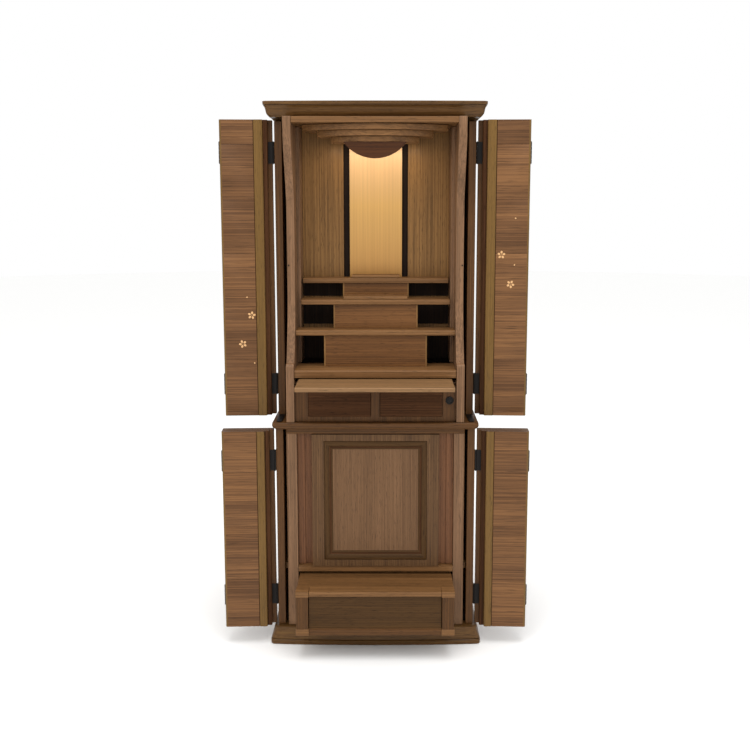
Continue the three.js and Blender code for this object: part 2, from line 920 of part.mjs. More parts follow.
// The drawer row under the platform: a face frame, two drawers, a floor and the pull-out shelf.
function drawerRow() {
  const full = altarInner - seam;
  const front = altarFront + frameBehindFront;
  const back = front + frameThickness;
  const railTop = altarBottom + railHeight;
  const frameTop = shelfBottom - runnerHeight - 1.5;
  const stile = altarInner - frameStile;
  const outline = [
    [-full, altarBottom],
    [full, altarBottom],
    [full, frameTop],
    [stile, frameTop],
    [stile, railTop],
    [dividerHalf, railTop],
    [dividerHalf, frameTop],
    [-dividerHalf, frameTop],
    [-dividerHalf, railTop],
    [-stile, railTop],
    [-stile, frameTop],
    [-full, frameTop],
  ];
  add(altar, "drawer_frame", alongY(outline, [front, back]), walnut);
  add(
    altar,
    "altar_floor",
    box(
      [-full, full],
      [back + seam, altarRear],
      [altarBottom + 3, altarBottom + 3 + floorThickness],
    ),
    walnut,
  );
  const drawerFront = front - drawerProud;
  const low = railTop + drawerGap;
  const high = shelfBottom - drawerTopGap;
  for (const [side, hand] of Object.entries(sides)) {
    const faceRange = mirrored(hand, dividerHalf + drawerGap, stile - drawerGap);
    const bodyRange = [faceRange[0] + drawerSideInset, faceRange[1] - drawerSideInset];
    const bodyFront = drawerFront + drawerFrontThickness;
    const bodyBack = drawerFront + drawerDepth;
    const bodyTop = high - drawerBodyDrop;
    const face = box(faceRange, [drawerFront, bodyFront], [low, high]);
    const tray = box(bodyRange, [bodyFront - 0.5, bodyBack], [low + 1, bodyTop]);
    const hollow = box(
      [bodyRange[0] + drawerWall, bodyRange[1] - drawerWall],
      [bodyFront, bodyBack - drawerWall],
      [low + 1 + drawerBottom, high + 1],
    );
    const drawer = new THREE.Group();
    add(drawer, `small_drawer_${side}`, cut(join(face, tray), hollow), doorVeneer);
    part.add(drawer);
  }
  add(
    part,
    "pull_out_shelf",
    ledge(
      [-shelfHalfWidth, shelfHalfWidth],
      [altarFront + platformBehindFront - shelfOut, altarFront + platformBehindFront - shelfOut + shelfDepth],
      [shelfBottom, shelfTop],
    ),
    walnut,
  );
  const switchX = (stile + full) / 2 + 1;
  const knob = new THREE.CylinderGeometry(switchRadius - 1, switchRadius, switchProud, 20);
  add(
    altar,
    "round_switch",
    place(knob, switchX, front - seam - switchProud / 2, (low + high) / 2),
    blackMetal,
  );
}

base();
lowerBody();
waistAndUpperBody();
crown();
step();
doors();
altarSides();
altarBack();
altarTiers();
canopy();
drawerRow();

// The part stands on its underside, centred under its own box.
const extent = new THREE.Box3().setFromObject(part);
const middle = extent.getCenter(new THREE.Vector3());
part.position.set(-middle.x, -middle.y, -extent.min.z);

export default part;
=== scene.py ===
import json
import math
import random

import bmesh
import bpy
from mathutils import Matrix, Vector


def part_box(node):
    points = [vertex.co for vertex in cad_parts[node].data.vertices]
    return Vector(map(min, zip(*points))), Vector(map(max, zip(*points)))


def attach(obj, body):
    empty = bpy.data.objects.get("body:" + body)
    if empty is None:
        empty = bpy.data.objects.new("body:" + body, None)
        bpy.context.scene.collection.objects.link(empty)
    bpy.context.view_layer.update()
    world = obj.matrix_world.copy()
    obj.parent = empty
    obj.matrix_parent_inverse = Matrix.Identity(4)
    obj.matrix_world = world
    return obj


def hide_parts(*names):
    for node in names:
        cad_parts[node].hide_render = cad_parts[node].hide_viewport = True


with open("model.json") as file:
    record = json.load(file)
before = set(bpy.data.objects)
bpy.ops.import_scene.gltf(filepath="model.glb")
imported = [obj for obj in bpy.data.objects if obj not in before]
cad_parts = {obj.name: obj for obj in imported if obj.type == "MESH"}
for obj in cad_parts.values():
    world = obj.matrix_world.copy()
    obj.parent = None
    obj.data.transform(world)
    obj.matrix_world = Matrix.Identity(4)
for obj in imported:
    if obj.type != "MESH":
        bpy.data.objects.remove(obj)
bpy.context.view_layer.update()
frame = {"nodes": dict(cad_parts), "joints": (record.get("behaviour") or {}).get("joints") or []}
nodes = frame["nodes"]
joints = {joint["name"]: joint for joint in frame["joints"]}
mm = 0.001
random.seed(11)


def toLinear(hexColour, alpha=1.0):
    channels = [int(hexColour[i : i + 2], 16) / 255 for i in (1, 3, 5)]
    return [c / 12.92 if c <= 0.04045 else ((c + 0.055) / 1.055) ** 2.4 for c in channels] + [alpha]


def addNode(tree, kind, inputs=None, **settings):
    node = tree.nodes.new(kind)
    for key, value in settings.items():
        setattr(node, key, value)
    for key, value in (inputs or {}).items():
        if isinstance(value, bpy.types.NodeSocket):
            tree.links.new(value, node.inputs[key])
        else:
            node.inputs[key].default_value = value
    return node


def newMaterial(name):
    material = bpy.data.materials.new(name)
    material.use_nodes = True
    tree = material.node_tree
    shader = tree.nodes["Principled BSDF"]
    return material, tree, shader


# Lacquered walnut. Quarter-cut veneer shows straight lines along the grain: broad bands of tone, lines some
# 3 mm apart, and short dark pores. Real pores are 0.2 mm wide, and are drawn at 1.6 mm so that they show.
woodFigure = {
    "bandMm": 38,
    "bandLengthMm": 1100,
    "lineMm": 3.4,
    "lineLengthMm": 460,
    "fineMm": 2.0,
    "fineLengthMm": 220,
    "poreMm": 1.6,
    "poreLengthMm": 26,
    "waverMm": 2.2,
    "poreDepthMm": 0.12,
    "sheetTone": 0.012,
    "depthShare": 1,
    "bandShare": 0.42,
    "lineShare": 0.75,
    "fineShare": 0.45,
    "middleTone": 0.6,
    "toneSpread": 0.2,
    "poreFrom": 0.6,
    "poreTo": 0.72,
    "poreShade": 0.75,
    "coatRoughness": 0.22,
    "logShift": (3.1, 7.7, 5.3),
    "wanderPerMetre": (2.6, 9, 9),
}


def makeWood(
    name,
    grain,
    dark,
    middle,
    light,
    pore,
    gloss=(0.42, 0.58),
    coat=0.05,
    contrast=1.0,
    specular=0.16,
    figure=None,
):
    size = {**woodFigure, **(figure or {})}
    material, tree, shader = newMaterial(name)
    place = addNode(tree, "ShaderNodeTexCoord").outputs["Object"]
    # Each board is cut from another place in the log.
    piece = addNode(tree, "ShaderNodeObjectInfo").outputs["Random"]
    away = addNode(
        tree, "ShaderNodeVectorMath", {0: piece, 1: size["logShift"]}, operation="MULTIPLY"
    ).outputs[0]
    sheet = addNode(tree, "ShaderNodeAttribute", attribute_name="boardShift").outputs["Vector"]
    place = addNode(tree, "ShaderNodeVectorMath", {0: place, 1: away}).outputs[0]
    place = addNode(tree, "ShaderNodeVectorMath", {0: place, 1: sheet}).outputs[0]
    parts = addNode(tree, "ShaderNodeSeparateXYZ", {0: place}).outputs
    order = {"X": "XZY", "Y": "YXZ", "Z": "ZXY"}[grain]
    along, across, through = (parts[axis] for axis in order)
    through = addNode(
        tree, "ShaderNodeMath", {0: through, 1: size["depthShare"]}, operation="MULTIPLY"
    ).outputs[0]
    place = addNode(tree, "ShaderNodeCombineXYZ", {0: along, 1: across, 2: through}).outputs[0]
    slow = addNode(
        tree, "ShaderNodeVectorMath", {0: place, 1: size["wanderPerMetre"]}, operation="MULTIPLY"
    ).outputs[0]
    wander = addNode(tree, "ShaderNodeTexNoise", {"Vector": slow, "Scale": 1, "Detail": 1}).outputs["Color"]
    waver = size["waverMm"] * mm * 2
    wander = addNode(
        tree,
        "ShaderNodeVectorMath",
        {0: wander, 1: (0, waver, waver), 2: place},
        operation="MULTIPLY_ADD",
    ).outputs[0]

    def streaks(widthMm, lengthMm, detail):
        scale = (1 / (lengthMm * mm), 1 / (widthMm * mm), 1 / (widthMm * mm))
        stretched = addNode(
            tree, "ShaderNodeVectorMath", {0: wander, 1: scale}, operation="MULTIPLY"
        ).outputs[0]
        noise = addNode(
            tree,
            "ShaderNodeTexNoise",
            {"Vector": stretched, "Scale": 1, "Detail": detail, "Roughness": 0.6},
        )
        return noise.outputs["Fac"]

    bands = streaks(size["bandMm"], size["bandLengthMm"], 2)
    lines = streaks(size["lineMm"], size["lineLengthMm"], 3)
    fine = streaks(size["fineMm"], size["fineLengthMm"], 2)
    pores = streaks(size["poreMm"], size["poreLengthMm"], 1)
    cut = addNode(tree, "ShaderNodeSeparateXYZ", {0: sheet}).outputs["X"]
    # The bands swing about a middle tone, and each sheet of veneer is a little paler or darker than the next.
    tone = -size["bandShare"] / 2
    for layer, share in ((bands, "bandShare"), (lines, "lineShare"), (fine, "fineShare"), (cut, "sheetTone")):
        tone = addNode(
            tree, "ShaderNodeMath", {0: layer, 1: size[share], 2: tone}, operation="MULTIPLY_ADD"
        ).outputs[0]
    spread = size["toneSpread"] / contrast
    tone = addNode(
        tree,
        "ShaderNodeMapRange",
        {"Value": tone, "From Min": size["middleTone"] - spread, "From Max": size["middleTone"] + spread},
    ).outputs[0]
    ramp = addNode(tree, "ShaderNodeValToRGB", {"Fac": tone})
    ramp.color_ramp.elements[0].position = 0.05
    ramp.color_ramp.elements[0].color = toLinear(dark)
    ramp.color_ramp.elements[1].position = 0.95
    ramp.color_ramp.elements[1].color = toLinear(light)
    ramp.color_ramp.elements.new(0.5).color = toLinear(middle)
    poreRange = {"From Min": size["poreFrom"], "From Max": size["poreTo"], "To Max": size["poreShade"]}
    dash = addNode(tree, "ShaderNodeMapRange", {"Value": pores, **poreRange}).outputs[0]
    # Sockets 6 and 7 are the two colours of a mix, 2 its result.
    colour = addNode(
        tree,
        "ShaderNodeMix",
        {0: dash, 6: ramp.outputs["Color"], 7: toLinear(pore)},
        data_type="RGBA",
    )
    tree.links.new(colour.outputs[2], shader.inputs["Base Color"])
    rough = addNode(
        tree,
        "ShaderNodeMapRange",
        {"Value": fine, "From Min": 0.3, "From Max": 0.7, "To Min": gloss[0], "To Max": gloss[1]},
    ).outputs[0]
    tree.links.new(rough, shader.inputs["Roughness"])
    height = addNode(
        tree, "ShaderNodeMath", {0: dash, 1: -1.0, 2: fine}, operation="MULTIPLY_ADD"
    ).outputs[0]
    bump = addNode(
        tree,
        "ShaderNodeBump",
        {"Height": height, "Strength": 0.5, "Distance": size["poreDepthMm"] * mm},
    )
    tree.links.new(bump.outputs[0], shader.inputs["Normal"])
    shader.inputs["Coat Weight"].default_value = coat
    shader.inputs["Coat Roughness"].default_value = size["coatRoughness"]
    shader.inputs["Specular IOR Level"].default_value = specular
    return material


walnutTones = {"dark": "#59412c", "middle": "#73553c", "light": "#866448", "pore": "#443121"}
doorTones = {"dark": "#52361f", "middle": "#67462a", "light": "#7c5634", "pore": "#3d2815"}
oliveTones = {"dark": "#412c11", "middle": "#593d1e", "light": "#6d4f29", "pore": "#2d1c08"}
mouldTones = {"dark": "#362310", "middle": "#442e16", "light": "#543a1d", "pore": "#251606"}
stripTones = {"dark": "#58401c", "middle": "#694d23", "light": "#79592b", "pore": "#3e2c11"}
jointAndShadeTones = {"dark": "#2f1b0c", "middle": "#432916", "light": "#523520", "pore": "#1f1006"}
redTones = {"dark": "#573723", "middle": "#6c472d", "light": "#7f5538", "pore": "#3f2918"}
nicheTones = {"dark": "#604424", "middle": "#795730", "light": "#8e683b", "pore": "#473218"}
edgeTones = {"dark": "#422a11", "middle": "#513418", "light": "#603f1f", "pore": "#2e1b09"}
panelTones = {"dark": "#452f1c", "middle": "#573d24", "light": "#684b2f", "pore": "#312011"}
fieldTones = {"dark": "#593e28", "middle": "#694c32", "light": "#77573c", "pore": "#432e1e"}
levelTones = {"dark": "#593d22", "middle": "#704e2d", "light": "#825d38", "pore": "#412c17"}
shadedRiserTones = {"dark": "#53351a", "middle": "#684423", "light": "#79512c", "pore": "#3c2611"}
shelfTones = {"dark": "#654c31", "middle": "#7c5d3d", "light": "#8e6b48", "pore": "#4a3722"}
valanceTones = {"dark": "#311804", "middle": "#3e2008", "light": "#49280b", "pore": "#210d02"}
shadeBlackTones = {"dark": "#120a05", "middle": "#1c110a", "light": "#281a10", "pore": "#0a0502"}

# Walnut veneer under satin lacquer, upright grain: soft sheen over brown lines.
walnutUpright = makeWood("walnutUpright", "Z", **walnutTones)
walnutLevel = makeWood("walnutLevel", "X", **levelTones)
# Risers are darker and redder than the tier boards: painted shade under the overhanging tiers.
shadedRiserLevel = makeWood("shadedRiserVeneerLevel", "X", **shadedRiserTones)
shelfLevel = makeWood("paleWalnutLevel", "X", **shelfTones)
valanceLevel = makeWood("darkWalnutLevel", "X", **valanceTones)
# Carcass edges and front fascias are stained darker.
edgeUpright = makeWood("stainedWalnutUpright", "Z", **edgeTones)
edgeLevel = makeWood("stainedWalnutLevel", "X", **edgeTones)
# Near-black matt walnut: painted shade in the rebates, grooves and hollows, on the drawer fronts and on the
# altar floor; on the doors it is also the real dark of the joints between veneer sheets.
shadeLevel = makeWood("shadeWalnutLevel", "X", **jointAndShadeTones, coat=0.0, specular=0.06)
jointAndShadeUpright = makeWood("jointAndShadeWalnutUpright", "Z", **jointAndShadeTones, coat=0.0, specular=0.06)
# Door veneer is laid in short sheets with level grain and strong streaks. A sheet hardly changes through
# its depth, so its lines run on along the tilted leaf.
doorFigure = {
    "lineMm": 3.0,
    "lineLengthMm": 1200,
    "fineLengthMm": 400,
    "waverMm": 1.2,
    "poreLengthMm": 60,
    "depthShare": 0.03,
}
doorVeneer = makeWood("doorVeneerLevel", "X", **doorTones, contrast=1.25, figure=doorFigure)
panelVeneer = makeWood("panelVeneerUpright", "Z", **panelTones, contrast=1.1)
fieldVeneer = makeWood("fieldVeneerUpright", "Z", **fieldTones, contrast=0.8)
# Solid olive-brown mouldings and door strips: close, even grain under a brighter lacquer, which the duller
# moulding of the lower panel lacks.
oliveLevel = makeWood("oliveMouldingLevel", "X", **oliveTones, gloss=(0.34, 0.48), coat=0.1, contrast=0.7)
mouldLevel = makeWood("panelMouldingLevel", "X", **mouldTones, coat=0.04, contrast=0.7, specular=0.1)
mouldUpright = makeWood("panelMouldingUpright", "Z", **mouldTones, coat=0.04, contrast=0.7, specular=0.1)
stripUpright = makeWood("oliveStripUpright", "Z", **stripTones, gloss=(0.34, 0.48), coat=0.1, contrast=0.6)
# Red-brown stained strips beside the lower panel, and the paler, yellower veneer at the back of the niche.
redUpright = makeWood("redStainedUpright", "Z", **redTones, contrast=0.8)
nicheUpright = makeWood("nicheVeneerUpright", "Z", **nicheTones)
# Near-black board, painted shade: it stands for the shade in the joints and hollows behind the tiers.
shadeBlackBoard = makeWood("paintedShadeBoard", "Z", **shadeBlackTones, gloss=(0.7, 0.85), coat=0.0, specular=0.15)


# Blackened steel: oxide over drawn sheet, a dull dark metal with faint mottling some 3 mm across.
steel = {"mottleMm": 3, "dark": "#0b0908", "light": "#191512", "gloss": (0.42, 0.6), "metallic": 0.6}


def makeBlackSteel():
    material, tree, shader = newMaterial("blackenedSteel")
    place = addNode(tree, "ShaderNodeTexCoord").outputs["Object"]
    mottle = addNode(
        tree, "ShaderNodeTexNoise", {"Vector": place, "Scale": 1 / (steel["mottleMm"] * mm), "Detail": 3}
    ).outputs["Fac"]
    ramp = addNode(tree, "ShaderNodeValToRGB", {"Fac": mottle})
    ramp.color_ramp.elements[0].color = toLinear(steel["dark"])
    ramp.color_ramp.elements[1].color = toLinear(steel["light"])
    tree.links.new(ramp.outputs["Color"], shader.inputs["Base Color"])
    gloss = {"To Min": steel["gloss"][0], "To Max": steel["gloss"][1]}
    rough = addNode(tree, "ShaderNodeMapRange", {"Value": mottle, **gloss}).outputs[0]
    tree.links.new(rough, shader.inputs["Roughness"])
    shader.inputs["Metallic"].default_value = steel["metallic"]
    return material


# Gold paper on board: soft streaks some 5 mm wide run upright. It is painted palest towards the top, a
# painted pool of the lamp's light.
gold = {
    "low": "#b08040",
    "middle": "#d0a25c",
    "high": "#d2ac80",
    "middleAt": 0.55,
    "paleFrom": 250,
    "paleTo": 60,
    "streakMm": 5,
    "streakLengthMm": 400,
    "shade": 0.86,
    "reliefMm": 0.1,
    "metallic": 0.25,
    "roughness": 0.42,
}


def makeGoldPaper():
    low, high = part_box("gold_panel")
    material, tree, shader = newMaterial("goldPaper")
    place = addNode(tree, "ShaderNodeTexCoord").outputs["Object"]
    # Painted pool of the lamp's light: the tint pales with height towards the top.
    rise = addNode(tree, "ShaderNodeSeparateXYZ", {0: place}).outputs["Z"]
    climb = addNode(
        tree,
        "ShaderNodeMapRange",
        {"Value": rise, "From Min": low.z + gold["paleFrom"] * mm, "From Max": high.z - gold["paleTo"] * mm},
    ).outputs[0]
    tint = addNode(tree, "ShaderNodeValToRGB", {"Fac": climb})
    tint.color_ramp.elements[0].color = toLinear(gold["low"])
    tint.color_ramp.elements[1].color = toLinear(gold["high"])
    tint.color_ramp.elements.new(gold["middleAt"]).color = toLinear(gold["middle"])
    wide = gold["streakMm"] * mm
    scale = (1 / wide, 1 / wide, 1 / (gold["streakLengthMm"] * mm))
    stretched = addNode(
        tree, "ShaderNodeVectorMath", {0: place, 1: scale}, operation="MULTIPLY"
    ).outputs[0]
    fibres = addNode(
        tree, "ShaderNodeTexNoise", {"Vector": stretched, "Scale": 1, "Detail": 3}
    ).outputs["Fac"]
    shade = addNode(
        tree,
        "ShaderNodeMapRange",
        {"Value": fibres, "From Min": 0.3, "From Max": 0.7, "To Min": gold["shade"]},
    ).outputs[0]
    tinted = addNode(
        tree, "ShaderNodeVectorMath", {0: tint.outputs["Color"], 1: shade}, operation="MULTIPLY"
    ).outputs[0]
    tree.links.new(tinted, shader.inputs["Base Color"])
    relief = gold["reliefMm"] * mm
    bump = addNode(tree, "ShaderNodeBump", {"Height": fibres, "Strength": 0.3, "Distance": relief})
    tree.links.new(bump.outputs[0], shader.inputs["Normal"])
    shader.inputs["Metallic"].default_value = gold["metallic"]
    shader.inputs["Roughness"].default_value = gold["roughness"]
    return material


# Inlay of pale boxwood with a gold tint: smooth, with a faint cloudiness some 2 mm across.
boxwood = {"cloudMm": 2, "dark": "#b98a56", "light": "#dcb07c", "roughness": 0.35}


def makeInlay():
    material, tree, shader = newMaterial("paleInlay")
    place = addNode(tree, "ShaderNodeTexCoord").outputs["Object"]
    cloud = addNode(
        tree, "ShaderNodeTexNoise", {"Vector": place, "Scale": 1 / (boxwood["cloudMm"] * mm), "Detail": 2}
    ).outputs["Fac"]
    ramp = addNode(tree, "ShaderNodeValToRGB", {"Fac": cloud})
    ramp.color_ramp.elements[0].color = toLinear(boxwood["dark"])
    ramp.color_ramp.elements[1].color = toLinear(boxwood["light"])
    tree.links.new(ramp.outputs["Color"], shader.inputs["Base Color"])
    shader.inputs["Roughness"].default_value = boxwood["roughness"]
    return material


blackSteel = makeBlackSteel()
goldPaper = makeGoldPaper()
paleInlay = makeInlay()
print("materials made")

# Every CAD solid that already has its true shape keeps it, with its edges eased and its own finish: the
# names of its nodes, their material and the width of the eased edge in mm.
nodeFinish = {
    "base crown": (oliveLevel, 0),
    "lower_side_left lower_side_right upper_side_left upper_side_right": (edgeUpright, 1.2),
    "back_board front_post_left front_post_right": (walnutUpright, 0.8),
    "frieze_rail": (edgeLevel, 0.8),
    "jamb_strip_left jamb_strip_right": (redUpright, 0.8),
    "niche_floor altar_back_board": (shadeBlackBoard, 0.6),
    "cupboard_floor": (walnutLevel, 0.8),
    "lower_panel": (panelVeneer, 0),
    "waist_board": (edgeLevel, 0),
    "guide_plate_left guide_plate_right": (blackSteel, 0.5),
    "step_post_left step_post_right": (edgeUpright, 1.0),
    "step_side_left step_side_right drawer_frame": (edgeUpright, 0.8),
    "step_top": (walnutLevel, 1.4),
    "step_front": (mouldLevel, 0.6),
    "step_back": (edgeLevel, 0.6),
    "altar_side_left altar_side_right": (walnutUpright, 1.4),
    "niche_panel_left niche_panel_right": (nicheUpright, 0.8),
    "gold_panel": (goldPaper, 0.6),
    "tier_platform tier_lower tier_middle tier_upper tier_stand image_stand": (walnutLevel, 0.8),
    "riser_lower riser_middle riser_upper": (shadedRiserLevel, 0.8),
    "canopy_board_top": (walnutLevel, 1.0),
    "canopy_board_upper canopy_board_middle canopy_board_lower": (walnutLevel, 1.4),
    "canopy_valance": (valanceLevel, 1.0),
    "altar_floor": (shadeLevel, 0.6),
    # Drawer fronts: near-black walnut as painted shade from the shelf above.
    "small_drawer_left small_drawer_right": (shadeLevel, 1.2),
    "pull_out_shelf": (shelfLevel, 0.8),
}
easing = {"weldMm": 0.01, "flatDegrees": 0.4, "sharpDegrees": 32, "segments": 3, "weight": 90}


def easeEdges(obj, widthMm):
    sharp = math.radians(easing["sharpDegrees"])
    obj.data.polygons.foreach_set("use_smooth", [True] * len(obj.data.polygons))
    obj.modifiers.new("weld", "WELD").merge_threshold = easing["weldMm"] * mm
    flat = obj.modifiers.new("flat", "DECIMATE")
    flat.decimate_type = "DISSOLVE"
    flat.angle_limit = math.radians(easing["flatDegrees"])
    if widthMm:
        bevel = obj.modifiers.new("ease", "BEVEL")
        bevel.width = widthMm * mm
        bevel.segments = easing["segments"]
        bevel.limit_method = "ANGLE"
        bevel.angle_limit = sharp
    else:
        obj.modifiers.new("split", "EDGE_SPLIT").split_angle = sharp
    obj.modifiers.new("normals", "WEIGHTED_NORMAL").weight = easing["weight"]


for nodeNames, (material, widthMm) in nodeFinish.items():
    for nodeName in nodeNames.split():
        obj = nodes[nodeName]
        obj.data.materials.clear()
        obj.data.materials.append(material)
        easeEdges(obj, widthMm)


# Faces of one solid that are veneered apart from the rest of it.
def refinish(nodeName, material, chosen):
    obj = nodes[nodeName]
    obj.modifiers["flat"].delimit = {"MATERIAL"}
    obj.data.materials.append(material)
    low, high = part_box(nodeName)
    for polygon in obj.data.polygons:
        if chosen(obj.matrix_world @ polygon.center, low, high):
            polygon.material_index = 1


# How deep and how far in from its edges the panel's field lies, and how high the step's rail and caps are.
veneered = {"fieldDepth": 5, "fieldInset": 50, "rail": 18, "cap": 16.5}


def onField(at, low, high):
    inset = veneered["fieldInset"] * mm
    inside = low.x + inset < at.x < high.x - inset and low.z + inset < at.z < high.z - inset
    return inside and at.y > low.y + veneered["fieldDepth"] * mm


def onRail(at, low, high):
    return at.z < low.z + veneered["rail"] * mm


def onPostEnds(at, low, high):
    return onRail(at, low, high) or at.z > high.z - veneered["cap"] * mm


refinish("lower_panel", fieldVeneer, onField)
refinish("step_front", edgeLevel, onRail)
for side in ("left", "right"):
    refinish(f"step_post_{side}", walnutLevel, onPostEnds)
print("CAD solids finished")


# A mesh becomes a smooth piece with its sharp edges kept, and moves with its body.
def placeMesh(name, mesh, body, sharpDegrees):
    mesh.polygons.foreach_set("use_smooth", [True] * len(mesh.polygons))
    mesh.set_sharp_from_angle(angle=math.radians(sharpDegrees))
    obj = bpy.data.objects.new(name, mesh)
    bpy.context.collection.objects.link(obj)
    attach(obj, body)
    return obj


def makePiece(name, vertices, faces, materials, body, faceMaterials=None, shifts=None, sharpDegrees=35):
    mesh = bpy.data.meshes.new(name)
    mesh.from_pydata([tuple(v) for v in vertices], [], faces)
    for material in materials:
        mesh.materials.append(material)
    if faceMaterials:
        mesh.polygons.foreach_set("material_index", faceMaterials)
    if shifts:
        board = mesh.attributes.new("boardShift", "FLOAT_VECTOR", "FACE")
        board.data.foreach_set("vector", [c for shift in shifts for c in shift])
    mesh.update()
    made = bmesh.new()
    made.from_mesh(mesh)
    bmesh.ops.recalc_face_normals(made, faces=made.faces)
    made.to_mesh(mesh)
    made.free()
    return placeMesh(name, mesh, body, sharpDegrees)


# Rings of points joined into one closed tube with flat ends.
def stackRings(rings):
    count = len(rings[0])
    faces = []
    for k in range(len(rings) - 1):
        for i in range(count):
            j = (i + 1) % count
            faces.append((k * count + i, k * count + j, (k + 1) * count + j, (k + 1) * count + i))
    last = (len(rings) - 1) * count
    faces.append(tuple(reversed(range(count))))
    faces.append(tuple(last + i for i in range(count)))
    return [v for ring in rings for v in ring], faces


# Where a pair of leaves hangs: from the hinge towards the fold, and forward, at right angles to it.
def leafFrame(level, side):
    hinge = Vector(joints[f"{level}_{side}_hinge"]["pos_m"])
    fold = Vector(joints[f"{level}_{side}_fold"]["pos_m"])
    outward = Vector((fold.x - hinge.x, fold.y - hinge.y, 0))
    foldAt = outward.length
    outward.normalize()
    forward = Vector((outward.y, -outward.x, 0))
    if forward.y > 0:
        forward = -forward
    low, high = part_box(f"{level}_leaf_{side}_outer")
    return {
        "at": Vector((hinge.x, hinge.y, 0)),
        "outward": outward,
        "forward": forward,
        "fold": foldAt,
        "low": low.z,
        "high": high.z,
    }


def onLeaf(leaf, u, w, z):
    return leaf["at"] + leaf["outward"] * u + leaf["forward"] * w + Vector((0, 0, z))


# Door leaves: level-grain veneer in short sheets, an olive strip and a rebate at the free edge, darkened with
# painted shade like the groove beside the strip. The veneer lies a little behind the solid's face, so that
# the strip can stand proud of it.
doorSizes = {
    "thickness": 20,
    "standOff": 1,
    "innerStart": 2.75,
    "innerWidth": 139.5,
    "outerWidth": 128,
    "foldGap": 1.25,
    "rebate": 12.5,
    "rebateDepth": 6.5,
    "strip": {"upper": 24, "lower": 20.5},
    "stripProud": 1.6,
    "groove": 1.2,
    "edgeRound": 5.6,
    "jointPitch": {"upper": 145.8, "lower": 152},
    "lowestJoint": {"upper": 649, "lower": 189.4},
    "jointWidth": 0.9,
    "jointDepth": 0.6,
    "stripRound": 2.2,
    "grooveDepth": 1.4,
    "endEase": 0.6,
    "topClear": 5,
    "sheetReach": 4,
    "faceSunk": 1,
    "chamfer": 1,
    "innerChamfer": 0.8,
    "rebateRound": 2,
    "grooveSlope": 0.4,
}


def roundCorner(cu, cw, radius, start, end, steps=5):
    points = []
    for i in range(steps + 1):
        angle = math.radians(start + (end - start) * i / steps)
        points.append((cu + radius * math.cos(angle), cw + radius * math.sin(angle)))
    return points


# Each sheet of veneer is cut from another place in the log.
def newSheet():
    reach = doorSizes["sheetReach"]
    return Vector([random.uniform(-reach, reach) for axis in range(3)])


# Heights of the joints between the sheets on one leaf.
def sheetJoints(level, leaf):
    heights = []
    height = doorSizes["lowestJoint"][level] * mm
    while height < leaf["high"] - doorSizes["topClear"] * mm:
        heights.append(height)
        height += doorSizes["jointPitch"][level] * mm
    return heights


# A leaf's outline from above, out of runs of points, each with the surface that starts at its points.
def joinRuns(runs):
    outline = [point for points, kind in runs for point in points]
    return outline, [kind for points, kind in runs for point in points]


def hangLeaf(level, side, part, rings, materials, faceMaterials, shifts):
    vertices, faces = stackRings(rings)
    name = f"{level.capitalize()}{side.capitalize()}{part.capitalize()}Leaf"
    obj = makePiece(name, vertices, faces, materials, f"{level}_{side}_{part}", faceMaterials, shifts)
    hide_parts(f"{level}_leaf_{side}_{part}")


def makeOuterLeaf(level, side):
    d = doorSizes
    leaf = leafFrame(level, side)
    far = leaf["fold"] / mm - d["foldGap"]
    near = far - d["outerWidth"]
    back = d["standOff"]
    front = back + d["thickness"] - d["faceSunk"]
    floor = front - d["rebateDepth"]
    stripStart = near + d["rebate"]
    stripEnd = stripStart + d["strip"][level]
    proud = front + d["stripProud"]
    sunken = front - d["grooveDepth"]
    grooveEnd = stripEnd + d["groove"]
    soft, edge, corner, chamfer = d["stripRound"], d["edgeRound"], d["rebateRound"], d["chamfer"]
    # dark: painted shade in the rebate and the groove, and the real dark joints between veneer sheets.
    veneer, strip, dark, plain = 0, 1, 2, 3
    outline, kinds = joinRuns(
        [
            ([(near + chamfer, back), (near, back + chamfer)], plain),
            (roundCorner(near + corner, floor - corner, corner, 180, 90, 3), dark),
            ([(stripStart, floor)], strip),
            (roundCorner(stripStart + soft, proud - soft, soft, 180, 90), strip),
            (roundCorner(stripEnd - soft, proud - soft, soft, 90, 20), strip),
            ([(stripEnd, sunken), (grooveEnd, sunken)], dark),
            ([(grooveEnd + d["grooveSlope"], front)], veneer),
            (roundCorner(far - edge, front - edge, edge, 90, 0), strip),
            ([(far, back + chamfer), (far - chamfer, back)], plain),
        ]
    )
    sheetFrom = kinds.index(veneer)
    ease, wide = d["endEase"] * mm, d["jointWidth"] * mm
    levels = [(leaf["low"], 0), (leaf["low"] + ease, 0)]
    for joint in sheetJoints(level, leaf):
        levels += [(joint - wide, 0), (joint - wide / 3, 1), (joint + wide / 3, 1), (joint + wide, 0)]
    levels += [(leaf["high"] - ease, 0), (leaf["high"], 0)]
    rings = []
    for z, sunk in levels:
        ring = []
        for i, (u, w) in enumerate(outline):
            if sunk and sheetFrom <= i <= sheetFrom + 1:
                w -= d["jointDepth"]
            ring.append(onLeaf(leaf, u * mm, w * mm, z))
        rings.append(ring)
    faceMaterials = []
    shifts = []
    sheetShift = newSheet()
    for k in range(len(rings) - 1):
        inJoint = levels[k][1] and levels[k + 1][1]
        if inJoint:
            sheetShift = newSheet()
        for kind in kinds:
            if kind == veneer and inJoint:
                kind = dark
            faceMaterials.append(kind)
            shifts.append(sheetShift if kind == veneer else (0, 0, 0))
    faceMaterials += [plain, plain]
    shifts += [(0, 0, 0), (0, 0, 0)]
    materials = [doorVeneer, stripUpright, jointAndShadeUpright, edgeUpright]
    hangLeaf(level, side, "outer", rings, materials, faceMaterials, shifts)


